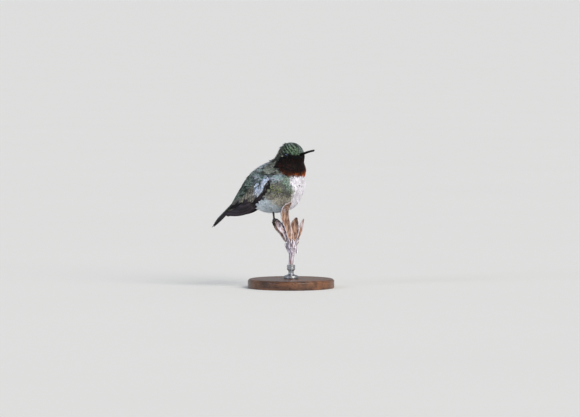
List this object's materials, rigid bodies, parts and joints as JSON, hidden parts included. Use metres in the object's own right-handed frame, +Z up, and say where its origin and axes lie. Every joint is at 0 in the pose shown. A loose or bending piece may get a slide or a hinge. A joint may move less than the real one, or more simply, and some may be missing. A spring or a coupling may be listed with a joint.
{
  "type": "hummingbird",
  "caption": "Male ruby-throated hummingbird, fluffed, head turned over its right side, gripping a dry seed stem, life size, on a plain display stand.",
  "frame": {"origin": "middle of the underside of the stand's base", "axes": "+X the way the bird's body faces, +Y its left, +Z up"},
  "size_m": [0.0691, 0.048, 0.0808],
  "materials": {
    "plumage": "soft overlapping body feathers, iridescent green above and grey-white below, with a dark ruby throat",
    "flight_feathers": "stiff purple-black wing and tail feathers with fine barbs",
    "bill": "black horn with a dull sheen",
    "eye": "wet near-black eye",
    "leg": "scaly blackish skin and claws",
    "dry_stem": "weathered silver-grey dry stem with lilac and brown streaks",
    "dry_pod": "dry seed pod, silvery outside and rusty inside",
    "stand_rod": "brushed steel rod",
    "stand_base": "dark oiled wood with fine grain"
  },
  "bodies": {
    "root": {"head": "plumage", "neck": "plumage", "trunk": "plumage", "rump": "plumage", "bill_upper": "bill", "bill_lower": "bill", "tail": "flight_feathers", "eye_left": "eye", "wing_left": "flight_feathers", "leg_left": "leg", "eye_right": "eye", "wing_right": "flight_feathers", "leg_right": "leg", "perch_pod_left": "dry_pod", "perch_pod_middle": "dry_pod", "perch_pod_right": "dry_pod", "perch_pod_far": "dry_pod", "perch_stem": "dry_stem", "stand_rod": "stand_rod", "stand_base": "stand_base"}
  },
  "joints": []
}
